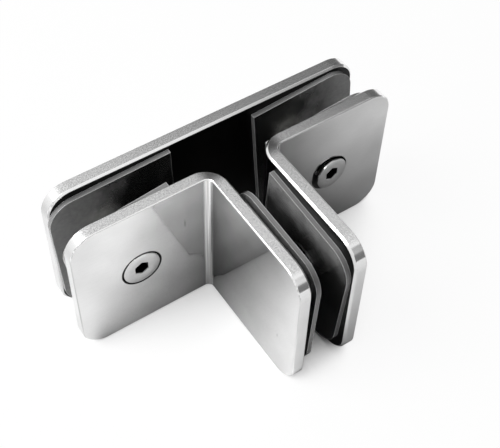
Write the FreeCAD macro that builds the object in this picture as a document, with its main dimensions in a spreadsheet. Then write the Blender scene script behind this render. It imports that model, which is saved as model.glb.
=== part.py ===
import FreeCAD, Part
import math
import os

import Sketcher

# Three-way glass connector: a flat back plate and two folded jaws hold three panes in a T.
# Units are millimetres. The origin is on the centre plane of the stem slot, where it meets
# the inner face of the back plate, level with the bottom edges. +X runs along the back
# plate, -Y along the stem and +Z up.

# Driving dimensions: alias, value, what it sizes
SIZES = (
    ("height", 50.0, "height of the back plate and of both jaws"),
    ("plate_thickness", 4.0, "thickness of the back plate"),
    ("plate_setback", 1.7, "how far the plate's ends lie inside those of the jaws"),
    ("jaw_sheet", 4.0, "thickness of the folded jaws"),
    ("leg_length", 47.5, "length of each jaw leg, over the fold"),
    ("back_slot", 12.4, "slot between the back plate and the jaws, metal to metal"),
    ("stem_slot", 12.4, "slot between the two jaws when both stand true, metal to metal"),
    ("right_jaw_shift", 1.5, "how much wider the right jaw's loose stem leg leaves that slot"),
    ("fold_radius", 2.0, "radius inside the fold"),
    ("fold_outer_radius", 7.5, "radius outside the fold, worn wide by the polishing"),
    ("corner_radius", 8.0, "radius of the free corners"),
    ("face_bevel", 0.3, "polished bevel round the outer faces"),
    ("slot_bevel", 0.6, "polished bevel round the faces in the slots"),
    ("end_to_screw", 20.7, "distance of a screw from the free end of its leg"),
    ("thread_diameter", 6.0, "thread of the clamp screws"),
    ("thread_gap", 0.1, "play of the screw in the threaded post, on the radius"),
    ("shank_gap", 0.5, "play of the screw in the jaw, on the radius"),
    ("screw_length", 12.0, "length of a countersunk screw with its head"),
    ("screw_tip", 1.0, "chamfer at the screw's tip"),
    ("head_diameter", 12.2, "flat of the countersunk head"),
    ("rim_diameter", 13.0, "mouth of the countersink"),
    ("seat_gap", 0.05, "how far a tight head stands off its countersink"),
    ("thread_engagement", 1.15, "how far a tight screw reaches into its post"),
    ("hex_width", 4.0, "hexagon socket over its flats"),
    ("hex_depth", 2.6, "depth of the hexagon socket"),
    ("post_diameter", 10.0, "threaded post"),
    ("post_seat", 1.5, "how deep the post is let into its plate"),
    ("post_gap", 0.02, "gap between the post and its seat, on the radius"),
    ("sleeve_gap", 0.1, "gap between the sleeve and the post, on the radius"),
    ("sleeve_wall", 0.9, "wall of the plastic sleeve"),
    ("sleeve_length", 8.0, "length of the sleeve"),
    ("pad_thickness", 1.5, "thickness of a clear pad"),
    ("pad_end_margin", 1.9, "distance of a clear pad from the free end of its leg"),
    ("pad_edge_margin", 2.4, "distance of a clear pad from the upper and lower edges"),
    ("low_pad_margin", 4.2, "distance of the right stem pad, cut short, from the upper edge"),
    ("pad_corner", 8.0, "corners of the pad at the free end"),
    ("pad_gap", 0.25, "gap between the pad's hole and the sleeve, on the radius"),
    ("loose_pad_corner", 7.0, "corners near the fold of the pad that hangs on the stem sleeve"),
    ("loose_pad_offset", 2.5, "how far that pad hangs off its jaw"),
    ("loose_pad_drop", 0.2, "how far it hangs down on the sleeve"),
    ("crooked_screw_proud", 1.0, "how far the right screw stands out of its jaw"),
    ("crooked_screw_lean", 3.5, "lean of the right screw, towards the free end"),
    ("crooked_screw_side", 0.3, "how far its head lies off centre, towards the free end"),
    ("crooked_screw_up", 0.25, "how far its head lies off centre, upwards"),
    ("back_left_pad_turn", 1.8, "turn of each pad about its screw, in degrees"),
    ("front_left_pad_turn", 7.0, "as it was pressed on by hand"),
    ("back_right_pad_turn", 4.5, "likewise"),
    ("front_right_pad_turn", 5.0, "likewise"),
    ("stem_left_pad_turn", 2.0, "likewise"),
    ("stem_right_pad_turn", 3.5, "likewise"),
    ("back_left_pad_root", 6.6, "how far each pad ends short of the slot round the corner"),
    ("front_left_pad_root", 11.6, "as it was cut by hand"),
    ("back_right_pad_root", 10.2, "likewise"),
    ("front_right_pad_root", 8.0, "likewise"),
    ("stem_left_pad_root", 8.0, "likewise"),
    ("stem_right_pad_root", 8.0, "likewise"),
)

# Expressions that several pieces share
SCREW_ACROSS = "Sizes.stem_slot / 2 + Sizes.leg_length - Sizes.end_to_screw"
SCREW_ALONG = "Sizes.back_slot + Sizes.leg_length - Sizes.end_to_screw"
SEAT_RADIUS = "Sizes.post_diameter / 2 + Sizes.post_gap"
SHANK_RADIUS = "Sizes.thread_diameter / 2 + Sizes.shank_gap"
SLEEVE_BORE = "Sizes.post_diameter / 2 + Sizes.sleeve_gap"
SLEEVE_OUTSIDE = "Sizes.post_diameter / 2 + Sizes.sleeve_gap + Sizes.sleeve_wall"
STEM_SLOT = "Sizes.stem_slot + Sizes.right_jaw_shift"
SCREW_REACH = "Sizes.screw_length - Sizes.seat_gap - Sizes.jaw_sheet - Sizes.thread_engagement"

# Full angle of the countersinks, in degrees
COUNTERSINK_ANGLE = 90.0
FULL_TURN = 360.0
TOLERANCE = 1e-4

X_AXIS = FreeCAD.Vector(1, 0, 0)
Y_AXIS = FreeCAD.Vector(0, 1, 0)
Z_AXIS = FreeCAD.Vector(0, 0, 1)


def make_sheet(doc):
    """Write the driving dimensions into a spreadsheet, one alias a row."""
    sheet = doc.addObject("Spreadsheet::Sheet", "Sizes")
    for row, (alias, value, note) in enumerate(SIZES, start=1):
        sheet.set("A%d" % row, alias)
        sheet.set("B%d" % row, "%g" % value)
        sheet.set("C%d" % row, note)
        sheet.setAlias("B%d" % row, alias)
    doc.recompute()
    return sheet


def make_body(doc, label):
    """Start the body of one sub-part; its label names its file."""
    body = doc.addObject("PartDesign::Body", label)
    body.Label = label
    return body


def make_sketch(body, name, role, offset=None):
    """Attach a sketch to an origin plane of its own body, offset along the plane's normal."""
    sketch = body.newObject("Sketcher::SketchObject", name)
    plane = [item for item in body.Origin.OriginFeatures if item.Role == role][0]
    sketch.AttachmentSupport = [(plane, "")]
    sketch.MapMode = "FlatFace"
    if offset:
        sketch.setExpression("AttachmentOffset.Base.z", offset)
    return sketch


def outline(sketch, corners):
    """Draw a closed outline whose corners are pairs of expressions on the spreadsheet."""
    count = len(corners)
    for index in range(count):
        start = 2.0 * math.pi * index / count
        stop = 2.0 * math.pi * (index + 1) / count
        sketch.addGeometry(Part.LineSegment(
            FreeCAD.Vector(math.cos(start), math.sin(start), 0),
            FreeCAD.Vector(math.cos(stop), math.sin(stop), 0)))
    for index in range(count):
        sketch.addConstraint(Sketcher.Constraint(
            "Coincident", index, 2, (index + 1) % count, 1))
    for index, (across, along) in enumerate(corners):
        for kind, expression in (("DistanceX", across), ("DistanceY", along)):
            number = sketch.addConstraint(Sketcher.Constraint(kind, -1, 1, index, 1, 1.0))
            sketch.setExpression("Constraints[%d]" % number, expression)


def circle(sketch, across, along, radius):
    """Draw one circle; its centre and radius are expressions on the spreadsheet."""
    sketch.addGeometry(Part.Circle(FreeCAD.Vector(1, 1, 0), Z_AXIS, 1.0))
    for kind, expression in (("DistanceX", across), ("DistanceY", along)):
        number = sketch.addConstraint(Sketcher.Constraint(kind, -1, 1, 0, 3, 1.0))
        sketch.setExpression("Constraints[%d]" % number, expression)
    number = sketch.addConstraint(Sketcher.Constraint("Radius", 0, 1.0))
    sketch.setExpression("Constraints[%d]" % number, radius)


def pad(body, sketch, name, length):
    """Extrude a sketch along its normal by an expression."""
    feature = body.newObject("PartDesign::Pad", name)
    feature.Profile = sketch
    feature.setExpression("Length", length)
    body.Document.recompute()
    return feature


def pocket(body, sketch, name, length, reverse=False):
    """Cut a sketch into the body by an expression, and make sure that it cuts."""
    before = body.Shape.Volume
    feature = body.newObject("PartDesign::Pocket", name)
    feature.Profile = sketch
    feature.setExpression("Length", length)
    feature.Reversed = reverse
    body.Document.recompute()
    if not feature.Shape.Volume < before - TOLERANCE:
        raise ValueError("%s cuts nothing" % name)
    return feature


def revolve(body, sketch, name):
    """Turn a half section about the sketch's upright axis."""
    feature = body.newObject("PartDesign::Revolution", name)
    feature.Profile = sketch
    feature.ReferenceAxis = (sketch, ["V_Axis"])
    feature.Angle = FULL_TURN
    body.Document.recompute()
    return feature


def hole(body, name, role, offset, across):
    """Countersunk clearance hole, drilled from the outer face of a jaw leg."""
    sketch = make_sketch(body, name + "_centre", role, offset)
    circle(sketch, across, "Sizes.height / 2", SHANK_RADIUS)
    body.Document.recompute()
    before = body.Shape.Volume
    feature = body.newObject("PartDesign::Hole", name)
    feature.Profile = sketch
    body.Document.recompute()
    feature.Threaded = False
    feature.DepthType = "ThroughAll"
    feature.DrillPoint = "Flat"
    feature.setExpression("Diameter", "2 * (%s)" % SHANK_RADIUS)
    feature.HoleCutType = "Countersink"
    feature.HoleCutCustomValues = True
    feature.setExpression("HoleCutDiameter", "Sizes.rim_diameter")
    feature.HoleCutCountersinkAngle = COUNTERSINK_ANGLE
    body.Document.recompute()
    if not feature.Shape.Volume < before - TOLERANCE:
        raise ValueError("%s cuts nothing" % name)
    return feature


def dress(body, kind, name, edges, prop, size):
    """Add a Fillet or Chamfer on the numbered edges of the body's tip."""
    base = body.Tip
    feature = body.newObject("PartDesign::" + kind, name)
    feature.Base = (base, ["Edge%d" % number for number in edges])
    feature.setExpression(prop, size)
    body.Tip = feature
    body.Document.recompute()
    return feature


def upright_edges(shape, direction, spots):
    """Number the straight edges along a direction that pass through one of the spots."""
    numbers = []
    for number, edge in enumerate(shape.Edges, start=1):
        if not isinstance(edge.Curve, Part.Line):
            continue
        if abs(edge.Curve.Direction.dot(direction)) < 1.0 - TOLERANCE:
            continue
        for spot in spots:
            if edge.distToShape(Part.Vertex(spot))[0] < TOLERANCE:
                numbers.append(number)
                break
    return numbers


def rim_edges(shape, faces):
    """Number the edges round a group of faces, without their shared edges and their holes."""
    numbers = []
    for number, edge in enumerate(shape.Edges, start=1):
        owners = 0
        for face in faces:
            if any(edge.isSame(other) for other in face.OuterWire.Edges):
                owners += 1
        if owners == 1:
            numbers.append(number)
    return numbers


def plane_face(shape, normal, reach):
    """Find the flat face with this outward normal at this distance from the origin."""
    found = None
    for face in shape.Faces:
        if not isinstance(face.Surface, Part.Plane):
            continue
        u_low, u_high, v_low, v_high = face.ParameterRange
        outward = face.normalAt((u_low + u_high) / 2, (v_low + v_high) / 2)
        if outward.dot(normal) < 1.0 - TOLERANCE:
            continue
        if abs(face.CenterOfMass.dot(normal) - reach) < TOLERANCE:
            if found is None or face.Area > found.Area:
                found = face
    if found is None:
        raise ValueError("no flat face at %g" % reach)
    return found


def fold_face(shape, radius):
    """Find the cylindrical face of the fold by its radius and its upright axis."""
    for face in shape.Faces:
        if not isinstance(face.Surface, Part.Cylinder):
            continue
        if abs(face.Surface.Axis.dot(Z_AXIS)) < 1.0 - TOLERANCE:
            continue
        if abs(face.Surface.Radius - radius) < TOLERANCE:
            return face
    raise ValueError("no fold of radius %g" % radius)


def make_back_plate(doc, sheet):
    """Flat plate with round corners, bevelled on both sides, and two blind post seats."""
    body = make_body(doc, "back_plate")
    sketch = make_sketch(body, "plate_outline", "XZ_Plane")
    half = "(Sizes.stem_slot / 2 + Sizes.leg_length - Sizes.plate_setback)"
    outline(sketch, (
        ("-" + half, "0"),
        (half, "0"),
        (half, "Sizes.height"),
        ("-" + half, "Sizes.height"),
    ))
    plate = pad(body, sketch, "plate_blank", "Sizes.plate_thickness")
    plate.Reversed = True
    doc.recompute()

    reach = sheet.stem_slot / 2 + sheet.leg_length - sheet.plate_setback
    spots = []
    for side in (-1, 1):
        for level in (0.0, sheet.height):
            spots.append(FreeCAD.Vector(side * reach, 0, level))
    corners = upright_edges(body.Shape, Y_AXIS, spots)
    dress(body, "Fillet", "plate_corners", corners, "Radius", "Sizes.corner_radius")

    for side, name in ((-1, "left"), (1, "right")):
        seat = make_sketch(body, name + "_post_seat_outline", "XZ_Plane")
        circle(seat, "%d * (%s)" % (side, SCREW_ACROSS), "Sizes.height / 2", SEAT_RADIUS)
        pocket(body, seat, name + "_post_seat", "Sizes.post_seat")

    slot_side = plane_face(body.Shape, -Y_AXIS, 0.0)
    dress(body, "Chamfer", "slot_bevel", rim_edges(body.Shape, [slot_side]),
          "Size", "Sizes.slot_bevel")
    outside = plane_face(body.Shape, Y_AXIS, sheet.plate_thickness)
    dress(body, "Chamfer", "face_bevel", rim_edges(body.Shape, [outside]),
          "Size", "Sizes.face_bevel")
    return body


def make_jaw(doc, sheet, label, side):
    """Folded jaw: an L of sheet, one leg along the back plate and one along the stem."""
    body = make_body(doc, label)
    half_slot = "Sizes.stem_slot / 2"
    reach = sheet.stem_slot / 2
    if side > 0:
        half_slot += " + Sizes.right_jaw_shift"
        reach += sheet.right_jaw_shift
    slot_side = "%d * (%s)" % (side, half_slot)
    outside = "%d * (%s + Sizes.jaw_sheet)" % (side, half_slot)
    leg_end = "%d * (Sizes.stem_slot / 2 + Sizes.leg_length)" % side
    sketch = make_sketch(body, label + "_profile", "XY_Plane")
    outline(sketch, (
        (slot_side, "-Sizes.back_slot"),
        (leg_end, "-Sizes.back_slot"),
        (leg_end, "-(Sizes.back_slot + Sizes.jaw_sheet)"),
        (outside, "-(Sizes.back_slot + Sizes.jaw_sheet)"),
        (outside, "-(Sizes.back_slot + Sizes.leg_length)"),
        (slot_side, "-(Sizes.back_slot + Sizes.leg_length)"),
    ))
    pad(body, sketch, label + "_blank", "Sizes.height")

    # The fold, which the polishing left rounder outside than a true bend would be
    inner = FreeCAD.Vector(side * (reach + sheet.jaw_sheet),
                           -(sheet.back_slot + sheet.jaw_sheet), sheet.height / 2)
    outer = FreeCAD.Vector(side * reach, -sheet.back_slot, sheet.height / 2)
    dress(body, "Fillet", label + "_fold_inside", upright_edges(body.Shape, Z_AXIS, [inner]),
          "Radius", "Sizes.fold_radius")
    dress(body, "Fillet", label + "_fold_outside", upright_edges(body.Shape, Z_AXIS, [outer]),
          "Radius", "Sizes.fold_outer_radius")

    # The free corners of the two legs
    levels = (0.0, sheet.height)
    back_reach = side * (sheet.stem_slot / 2 + sheet.leg_length)
    stem_reach = -(sheet.back_slot + sheet.leg_length)
    back_spots = [FreeCAD.Vector(back_reach, -sheet.back_slot, level) for level in levels]
    stem_spots = [FreeCAD.Vector(side * reach, stem_reach, level) for level in levels]
    corners = upright_edges(body.Shape, Y_AXIS, back_spots)
    corners += upright_edges(body.Shape, X_AXIS, stem_spots)
    dress(body, "Fillet", label + "_corners", corners, "Radius", "Sizes.corner_radius")

    # Countersunk hole for the screw in the leg along the back plate
    hole(body, label + "_back_hole", "XZ_Plane",
         "Sizes.back_slot + Sizes.jaw_sheet", "%d * (%s)" % (side, SCREW_ACROSS))
    if side > 0:
        # The stem screw enters here, and its post is let into the other jaw
        hole(body, label + "_stem_hole", "YZ_Plane",
             half_slot + " + Sizes.jaw_sheet", "-(%s)" % SCREW_ALONG)
    else:
        seat = make_sketch(body, label + "_post_seat_outline", "YZ_Plane",
                           "-Sizes.stem_slot / 2")
        circle(seat, "-(%s)" % SCREW_ALONG, "Sizes.height / 2", SEAT_RADIUS)
        pocket(body, seat, label + "_post_seat", "Sizes.post_seat")

    # Polished bevels round the outer faces and round the faces in the slots
    shape = body.Shape
    outside_faces = [
        plane_face(shape, -Y_AXIS, sheet.back_slot + sheet.jaw_sheet),
        fold_face(shape, sheet.fold_radius),
        plane_face(shape, X_AXIS * side, reach + sheet.jaw_sheet),
    ]
    dress(body, "Chamfer", label + "_face_bevel", rim_edges(shape, outside_faces),
          "Size", "Sizes.face_bevel")
    shape = body.Shape
    slot_faces = [
        plane_face(shape, Y_AXIS, -sheet.back_slot),
        fold_face(shape, sheet.fold_outer_radius),
        plane_face(shape, X_AXIS * -side, -reach),
    ]
    dress(body, "Chamfer", label + "_slot_bevel", rim_edges(shape, slot_faces),
          "Size", "Sizes.slot_bevel")
    return body


def make_post(doc, label, slot):
    """Threaded post that stands up in its slot as far as the screw asks for."""
    body = make_body(doc, label)
    sketch = make_sketch(body, label + "_section", "XZ_Plane")
    bore = "Sizes.thread_diameter / 2 + Sizes.thread_gap"
    outside = "Sizes.post_diameter / 2"
    top = "%s - (%s)" % (slot, SCREW_REACH)
    outline(sketch, (
        (bore, "-Sizes.post_seat"),
        (outside, "-Sizes.post_seat"),
        (outside, top),
        (bore, top),
    ))
    revolve(body, sketch, label + "_turned")
    return body


def make_sleeve(doc, label):
    """Plastic sleeve that keeps the glass off the post and the screw."""
    body = make_body(doc, label)
    sketch = make_sketch(body, label + "_section", "XZ_Plane")
    outline(sketch, (
        (SLEEVE_BORE, "0"),
        (SLEEVE_OUTSIDE, "0"),
        (SLEEVE_OUTSIDE, "Sizes.sleeve_length"),
        (SLEEVE_BORE, "Sizes.sleeve_length"),
    ))
    revolve(body, sketch, label + "_turned")
    return body


def make_screw(doc, label):
    """Countersunk screw with a hexagon socket; the top of its head is at zero."""
    body = make_body(doc, label)
    thread = "Sizes.thread_diameter / 2"
    head = "Sizes.head_diameter / 2"
    land = "(Sizes.rim_diameter - Sizes.head_diameter) / 2"
    sketch = make_sketch(body, label + "_section", "XZ_Plane")
    outline(sketch, (
        ("0", "0"),
        (head, "0"),
        (head, "-" + land),
        (thread, "-(%s + %s - %s)" % (land, head, thread)),
        (thread, "-(Sizes.screw_length - Sizes.screw_tip)"),
        (thread + " - Sizes.screw_tip", "-Sizes.screw_length"),
        ("0", "-Sizes.screw_length"),
    ))
    revolve(body, sketch, label + "_turned")

    socket = make_sketch(body, label + "_socket_outline", "XY_Plane")
    flat = "Sizes.hex_width / 2"
    point = "Sizes.hex_width / sqrt(3)"
    outline(socket, (
        ("0", point),
        (flat, point + " / 2"),
        (flat, "-%s / 2" % point),
        ("0", "-" + point),
        ("-" + flat, "-%s / 2" % point),
        ("-" + flat, point + " / 2"),
    ))
    pocket(body, socket, label + "_socket", "Sizes.hex_depth")
    return body


def make_pad(doc, label, low_margin="Sizes.pad_edge_margin", root_corner=None):
    """Clear pad, bored over the sleeve, with its free end along its own +X."""
    body = make_body(doc, label)
    sketch = make_sketch(body, label + "_outline", "XY_Plane")
    reach = "(Sizes.end_to_screw - Sizes.pad_end_margin)"
    root = "-(Sizes.leg_length - Sizes.end_to_screw - Sizes.%s_root)" % label
    low = "-(Sizes.height / 2 - %s)" % low_margin
    high = "(Sizes.height / 2 - Sizes.pad_edge_margin)"
    outline(sketch, (
        (root, low),
        (reach, low),
        (reach, high),
        (root, high),
    ))
    blank = pad(body, sketch, label + "_blank", "Sizes.pad_thickness")
    box = blank.Shape.BoundBox
    corners = [(box.XMax, "free_corners", "Sizes.pad_corner")]
    if root_corner:
        corners.append((box.XMin, "root_corners", root_corner))
    for end, name, radius in corners:
        spots = [FreeCAD.Vector(end, edge, 0) for edge in (box.YMin, box.YMax)]
        dress(body, "Fillet", label + "_" + name, upright_edges(body.Shape, Z_AXIS, spots),
              "Radius", radius)
    bore = make_sketch(body, label + "_bore_outline", "XY_Plane")
    circle(bore, "0", "0", "%s + Sizes.pad_gap" % SLEEVE_OUTSIDE)
    pocket(body, bore, label + "_bore", "Sizes.pad_thickness", reverse=True)
    return body


def stations(sheet):
    """Place the three screw axes: each starts on the post's face and points at the head."""
    across = sheet.stem_slot / 2 + sheet.leg_length - sheet.end_to_screw
    along = sheet.back_slot + sheet.leg_length - sheet.end_to_screw
    middle = sheet.height / 2
    places = {}
    for name, base, outward, axis in (
            ("left", (-across, 0, middle), -X_AXIS, -Y_AXIS),
            ("right", (across, 0, middle), X_AXIS, -Y_AXIS),
            ("stem", (-sheet.stem_slot / 2, -along, middle), -Y_AXIS, X_AXIS)):
        turn = FreeCAD.Rotation(outward, axis.cross(outward), axis, "ZXY")
        places[name] = FreeCAD.Placement(FreeCAD.Vector(*base), turn)
    return places


def lift(height, turn=0.0, aside=0.0, up=0.0):
    """Placement on a screw axis: a distance along it, a turn about it and an offset."""
    return FreeCAD.Placement(
        FreeCAD.Vector(aside, up, height), FreeCAD.Rotation(Z_AXIS, turn))


def build(doc):
    """Make every sub-part and put it in its place."""
    sheet = make_sheet(doc)
    pieces = [
        make_back_plate(doc, sheet),
        make_jaw(doc, sheet, "left_jaw", -1),
        make_jaw(doc, sheet, "right_jaw", 1),
    ]
    pads = {
        "left": (make_pad(doc, "back_left_pad"), make_pad(doc, "front_left_pad")),
        "right": (make_pad(doc, "back_right_pad"), make_pad(doc, "front_right_pad")),
        "stem": (make_pad(doc, "stem_left_pad", root_corner="Sizes.loose_pad_corner"),
                 make_pad(doc, "stem_right_pad", low_margin="Sizes.low_pad_margin")),
    }
    for name, axis in stations(sheet).items():
        slot, slot_size = sheet.back_slot, "Sizes.back_slot"
        if name == "stem":
            slot, slot_size = sheet.stem_slot + sheet.right_jaw_shift, STEM_SLOT
        post = make_post(doc, name + "_post", slot_size)
        post.Placement = axis
        sleeve = make_sleeve(doc, name + "_sleeve")
        sleeve.Placement = axis

        near_pad, far_pad = pads[name]
        near_pad.Placement = axis * lift(0.0, sheet.get(near_pad.Label + "_turn"))
        if name == "stem":
            near_pad.Placement.Base += X_AXIS * sheet.loose_pad_offset
            near_pad.Placement.Base -= Z_AXIS * sheet.loose_pad_drop
        far_pad.Placement = axis * lift(
            slot - sheet.pad_thickness, sheet.get(far_pad.Label + "_turn"))

        screw = make_screw(doc, name + "_screw")
        face = slot + sheet.jaw_sheet
        if name == "right":
            lean = FreeCAD.Placement(
                FreeCAD.Vector(), FreeCAD.Rotation(Y_AXIS, sheet.crooked_screw_lean))
            screw.Placement = axis * lift(
                face + sheet.crooked_screw_proud, 0.0,
                sheet.crooked_screw_side, sheet.crooked_screw_up) * lean
        else:
            screw.Placement = axis * lift(face + sheet.seat_gap)
        pieces += [post, sleeve, near_pad, far_pad, screw]
    doc.recompute()
    return pieces


def check(doc, pieces):
    """Refuse a document with a failed object or a sub-part without a sound solid."""
    for item in doc.Objects:
        if "Invalid" in item.State or "Error" in item.State:
            raise ValueError("%s failed: %s" % (item.Label, item.State))
    for piece in pieces:
        if piece.Shape.isNull() or not piece.Shape.isValid():
            raise ValueError("%s has no sound shape" % piece.Label)
        if len(piece.Shape.Solids) != 1:
            raise ValueError("%s is not one solid" % piece.Label)


def main():
    """Build the document, check it and write one file for each sub-part."""
    os.makedirs("parts", exist_ok=True)
    doc = FreeCAD.newDocument("glass_connector")
    pieces = build(doc)
    check(doc, pieces)
    for piece in pieces:
        piece.Shape.exportStep("parts/%s.step" % piece.Label)
        box = piece.Shape.BoundBox
        print("%-16s volume %9.2f  x %7.2f %7.2f  y %7.2f %7.2f  z %7.2f %7.2f" % (
            piece.Label, piece.Shape.Volume, box.XMin, box.XMax, box.YMin, box.YMax,
            box.ZMin, box.ZMax))


main()
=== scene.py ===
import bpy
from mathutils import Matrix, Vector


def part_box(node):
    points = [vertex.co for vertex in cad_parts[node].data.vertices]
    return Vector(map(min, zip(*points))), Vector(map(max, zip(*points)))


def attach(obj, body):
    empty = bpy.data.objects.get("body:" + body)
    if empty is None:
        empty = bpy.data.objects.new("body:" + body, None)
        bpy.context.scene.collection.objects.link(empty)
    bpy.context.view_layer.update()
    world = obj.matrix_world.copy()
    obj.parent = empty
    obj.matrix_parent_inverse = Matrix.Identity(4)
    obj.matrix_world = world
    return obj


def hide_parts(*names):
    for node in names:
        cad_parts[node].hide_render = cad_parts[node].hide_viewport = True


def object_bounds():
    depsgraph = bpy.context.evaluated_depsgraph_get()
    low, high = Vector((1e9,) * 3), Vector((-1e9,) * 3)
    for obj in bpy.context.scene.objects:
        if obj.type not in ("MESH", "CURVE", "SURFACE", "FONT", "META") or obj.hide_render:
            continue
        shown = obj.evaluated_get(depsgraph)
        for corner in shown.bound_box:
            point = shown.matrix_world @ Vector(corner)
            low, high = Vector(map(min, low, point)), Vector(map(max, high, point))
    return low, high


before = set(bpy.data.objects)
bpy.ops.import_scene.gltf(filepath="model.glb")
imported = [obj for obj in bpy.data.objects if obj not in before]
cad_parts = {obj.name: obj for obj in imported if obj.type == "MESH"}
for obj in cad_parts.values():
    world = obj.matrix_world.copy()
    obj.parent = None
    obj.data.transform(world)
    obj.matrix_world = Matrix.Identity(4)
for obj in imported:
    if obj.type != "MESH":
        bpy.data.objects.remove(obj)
CAD_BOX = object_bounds()

"""Looks of a three-way glass connector in polished stainless steel, on a pale studio floor.

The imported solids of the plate, the jaws, the posts, the sleeves and the pads stay as they are
and get their finishes here. The countersunk screws are made again with their threads and
sockets. Lengths are millimetres in the dataclass fields and metres in the meshes.
"""

import logging
import math
from collections.abc import Callable
from dataclasses import dataclass
from enum import Enum
from functools import reduce

import bpy
from mathutils import Matrix, Quaternion, Vector

log = logging.getLogger("glass_connector")

Node = bpy.types.Node
Tree = bpy.types.NodeTree
Socket = bpy.types.NodeSocket
Material = bpy.types.Material
Mesh = bpy.types.Mesh
Object = bpy.types.Object
Span = tuple[float, float]
Point = tuple[float, float, float]
Quad = tuple[float, float, float, float]

MM = 0.001
ROOT = "root"
RADIUS_LAYER = "turning_radius"
SOCKET_LAYER = "broached_socket"
PLASTIC_IOR = 1.53
# Points in a turn of the thread, where along it the ridge thins out, and how thin it ends
THREAD_STEPS = 40
THREAD_RUN_OUT = (0.42, 0.5)
THREAD_END = 0.05


class Side(Enum):
    """Where a screw stands, by the name that its nodes start with."""

    LEFT = "left"
    RIGHT = "right"
    STEM = "stem"


class Sheet(Enum):
    """A piece of sheet: where its fold lies, and the ways in which its slot sides face."""

    PLATE = (None, ((0.0, -1.0, 0.0),))
    LEFT_JAW = ((-10.2, -16.4), ((0.0, 1.0, 0.0), (1.0, 0.0, 0.0)))
    RIGHT_JAW = ((11.7, -16.4), ((0.0, 1.0, 0.0), (-1.0, 0.0, 0.0)))

    def __init__(self, fold_mm: Span | None, slot_sides: tuple[Point, ...]) -> None:
        """Keep the place of the fold, in the frame's X and Y, and the slot sides' normals."""
        self.fold_mm = fold_mm
        self.slot_sides = slot_sides


class Run(Enum):
    """The direction in which a pad lies."""

    PLATE = "along_the_plate"
    STEM = "along_the_stem"


def linear(hex_colour: str) -> Quad:
    """Turn an sRGB hex colour into a linear colour.

    Args:
        hex_colour: Six hexadecimal digits after a hash.

    Returns:
        Red, green, blue and an alpha of one.
    """
    channels = []
    for start in (1, 3, 5):
        value = int(hex_colour[start:start + 2], 16) / 255.0
        channels.append(value / 12.92 if value <= 0.04045 else ((value + 0.055) / 1.055) ** 2.4)
    return channels[0], channels[1], channels[2], 1.0


def grey(level: float) -> Quad:
    """Return a linear grey with an alpha of one."""
    return level, level, level, 1.0


def metres(*lengths_mm: float) -> tuple[float, ...]:
    """Return lengths in metres that are given in millimetres."""
    return tuple(length * MM for length in lengths_mm)


def repeats(size_mm: float) -> float:
    """Return how many grains of a size fit in a metre."""
    return 1.0 / (size_mm * MM)


def add_node(tree: Tree, kind: str, inputs: dict | tuple = (), **settings: object) -> Node:
    """Add a node with its settings, and link or set its inputs.

    Args:
        tree: The tree that gets the node.
        kind: The node's Blender type.
        inputs: What goes in, by name or in the node's own order. A socket is linked, a node
            is linked from its first output, and anything else is set.
        **settings: Properties of the node.

    Returns:
        The new node.
    """
    node = tree.nodes.new(kind)
    for name, value in settings.items():
        setattr(node, name, value)
    if isinstance(inputs, dict):
        pairs = [(node.inputs[name], value) for name, value in inputs.items()]
    else:
        pairs = list(zip((socket for socket in node.inputs if socket.enabled), inputs))
    for socket, value in pairs:
        if isinstance(value, Node):
            value = next(output for output in value.outputs if output.enabled)
        if isinstance(value, Socket):
            tree.links.new(value, socket)
        else:
            socket.default_value = value
    return node


def new_material(name: str) -> tuple[Material, Tree]:
    """Start a material.

    Args:
        name: The finish's name.

    Returns:
        The material and its empty tree.
    """
    material = bpy.data.materials.new(name)
    material.use_nodes = True
    material.node_tree.nodes.clear()
    return material, material.node_tree


def shade_gaps(tree: Tree, gap_mm: float, openness: Span) -> Node:
    """Find the narrow gaps, to paint shade into them.

    Args:
        tree: The material's tree.
        gap_mm: How far away the other face of a gap may be.
        openness: How open a point is where the painted shade is full, and where it ends.

    Returns:
        One where the painted shade is full, and zero in the open.
    """
    near = add_node(tree, "ShaderNodeAmbientOcclusion", {"Distance": gap_mm * MM}, samples=6)
    return add_node(tree, "ShaderNodeMapRange", (near.outputs["AO"], *openness, 1.0, 0.0))


def ray_kinds(tree: Tree) -> tuple[Socket, Node]:
    """Tell the rays of the eye from those that the steel and the pads send on.

    Args:
        tree: The tree of a material or the world.

    Returns:
        One for a ray of the eye, and one for a mirrored or refracted ray.
    """
    rays = add_node(tree, "ShaderNodeLightPath").outputs
    return rays["Is Camera Ray"], add_node(
        tree, "ShaderNodeMath", (rays["Is Glossy Ray"], rays["Is Transmission Ray"]),
        operation="MAXIMUM")


@dataclass(frozen=True)
class SheetMasks:
    """Nodes that tell how the sheet was worked at a point and where shade is painted on it, shared
    by the parts of its finish.
    """

    place: Socket
    hairlines: Node
    cloud: Node
    grain: Node
    edge: Node
    sandy: Node
    curved: Node
    off_flat: Node
    off_fold: Node | None
    gap_shade: Node
    rough_and_shaded: Node


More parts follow.
